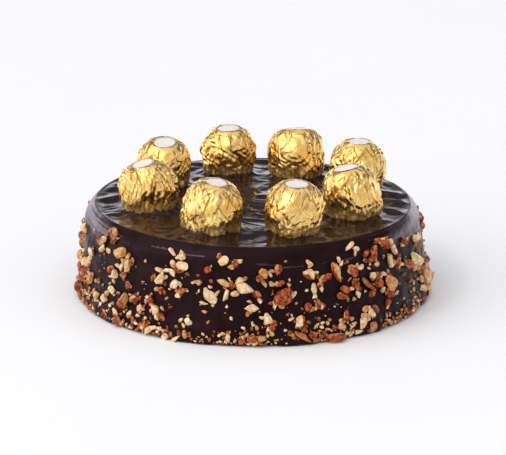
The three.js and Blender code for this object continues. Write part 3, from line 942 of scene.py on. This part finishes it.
for index, praline in enumerate(PRALINES):
    rows = praline_profile(praline.girth, praline.foot)
    out, angle, height = turned_round(rows, FOIL_STEPS_ROUND)
    ball = np.stack([out * np.cos(angle), out * np.sin(angle), height], 1)
    ball, crease = crumple(ball, praline, 101 + 10 * index)
    faces = rows_to_faces(len(rows), FOIL_STEPS_ROUND)
    faces.append(closing_face(len(rows), FOIL_STEPS_ROUND))
    wrapped = piece_from("foil_" + praline.name, on_the_cake(ball, praline), faces, foil)
    # The crease mark is the painted shade that darkens the foil in its creases.
    mark_points(wrapped, "crease", crease)
    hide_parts("praline_" + praline.name)
    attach(wrapped, "root")

# ---- The paper stickers ----
# A small oval of smooth white paper on top of each praline, with nothing printed on it. It is stuck down
# into the dish of the foil, so that its middle lies a little lower than its edge.

STICKER_THICKNESS = 0.3
STICKER_DIP = 0.35
STICKER_MIDDLE = 0.001
STICKER_RINGS = 7
STICKER_STEPS_ROUND = 64

paper, paper_shader = new_material("white_paper")
paper_shader.inputs["Roughness"].default_value = 0.55
paper_tone = add_ramp(paper, add_noise(paper, 2), [
    (0.3, (0.74, 0.715, 0.7)),
    (0.7, (0.8, 0.78, 0.765)),
])
paper.node_tree.links.new(paper_tone, paper_shader.inputs["Base Color"])
add_bump(paper, paper_shader, add_noise(paper, 0.5), 0.03)

# The share of the way out to the edge, and 0 on the lower face or 1 on the upper one.
sticker_rows = [(STICKER_MIDDLE, 0)]
sticker_rows += [(ring / STICKER_RINGS, 0) for ring in range(1, STICKER_RINGS + 1)]
sticker_rows += [(ring / STICKER_RINGS, 1) for ring in range(STICKER_RINGS, 0, -1)]
sticker_rows += [(STICKER_MIDDLE, 1)]
sticker_faces = [face[::-1] for face in rows_to_faces(len(sticker_rows), STICKER_STEPS_ROUND)]


def sticker_points(turn):
    """An oval plate whose middle is pressed down."""
    share, angle, upper = turned_round(sticker_rows, STICKER_STEPS_ROUND)
    x = share * STICKER_LENGTH / 2 * np.cos(angle)
    y = share * STICKER_WIDTH / 2 * np.sin(angle)
    turned_x = x * math.cos(turn) - y * math.sin(turn)
    turned_y = x * math.sin(turn) + y * math.cos(turn)
    z = PRALINE_HEIGHT / 2 - DISH_DEPTH + STICKER_DIP * share**2 + STICKER_THICKNESS * upper
    return np.stack([turned_x, turned_y, z], 1)


for praline in PRALINES:
    plate = on_the_cake(sticker_points(math.radians(praline.sticker_turn)), praline)
    sticker = piece_from("oval_sticker_" + praline.name, plate, sticker_faces, paper)
    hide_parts("sticker_" + praline.name)
    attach(sticker, "root")

# ---- The table top and the light ----
# A plain pale table in a bright studio. A broad soft sun shines from the upper left and a small lamp puts
# glints on the ganache. The room is bright low down at the back, dark at middle height and bright overhead,
# even in front and brighter on the left, and the ganache and the foil mirror it.

FLOOR_HALF = 12000
floor_material, floor_shader = new_material("pale_table")
floor_shader.inputs["Roughness"].default_value = 0.7
floor_tone = add_ramp(floor_material, add_noise(floor_material, 400), [
    (0.3, (0.88, 0.885, 0.9)),
    (0.7, (0.9, 0.905, 0.92)),
])
floor_material.node_tree.links.new(floor_tone, floor_shader.inputs["Base Color"])
floor = piece_from("floor", [
    (-FLOOR_HALF, -FLOOR_HALF, 0),
    (FLOOR_HALF, -FLOOR_HALF, 0),
    (FLOOR_HALF, FLOOR_HALF, 0),
    (-FLOOR_HALF, FLOOR_HALF, 0),
], [(0, 1, 2, 3)], floor_material)


def hang_lamp(name, light, place, aim):
    """Hangs a light at a place and turns it to shine at what it is aimed at."""
    lamp = bpy.data.objects.new(name, light)
    lamp.location = place
    lamp.rotation_euler = (Vector(aim) - lamp.location).to_track_quat("-Z", "Y").to_euler()
    bpy.context.scene.collection.objects.link(lamp)


key_light = bpy.data.lights.new("key_light", "SUN")
key_light.energy = 1.25
key_light.angle = math.radians(80)
key_light.color = (1, 0.985, 0.965)
hang_lamp("key_lamp", key_light, (-1.4, -1.0, 1.4), (0, 0, 0))

glint_light = bpy.data.lights.new("glint_lamp", "AREA")
glint_light.size = 0.14
glint_light.energy = 1.6
glint_light.color = (1, 0.99, 0.97)
hang_lamp("glint_lamp", glint_light, (-0.6, -0.7, 1.1), (0, 0, 0.04))

studio = bpy.data.worlds.new("studio")
bpy.context.scene.world = studio
studio.use_nodes = True
studio_links = studio.node_tree.links
background = studio.node_tree.nodes["Background"]
room = add_split(studio, "Generated")
back_wall = add_ramp(studio, room["Z"], [
    (0.0, (2.0, 2.0, 2.1)),
    (0.17, (1.9, 1.88, 2.0)),
    (0.27, (0.72, 0.7, 0.76)),
    (0.36, (0.12, 0.12, 0.13)),
    (0.6, (0.14, 0.14, 0.15)),
    (0.85, (1.0, 1.0, 1.02)),
])
front_wall = add_ramp(studio, room["Z"], [
    (0.0, (0.62, 0.62, 0.65)),
    (0.3, (0.72, 0.72, 0.74)),
    (0.9, (0.95, 0.95, 0.97)),
])
front_share = add_range(studio, room["Y"], 0, 1, 0.15, -0.25)
studio_links.new(add_mix(studio, front_share, back_wall, front_wall), background.inputs["Color"])
brightness = add_range(studio, room["X"], 1.0, 1.6, -0.3, -0.95)
studio_links.new(brightness, background.inputs["Strength"])

bpy.context.scene.view_settings.view_transform = "Standard"
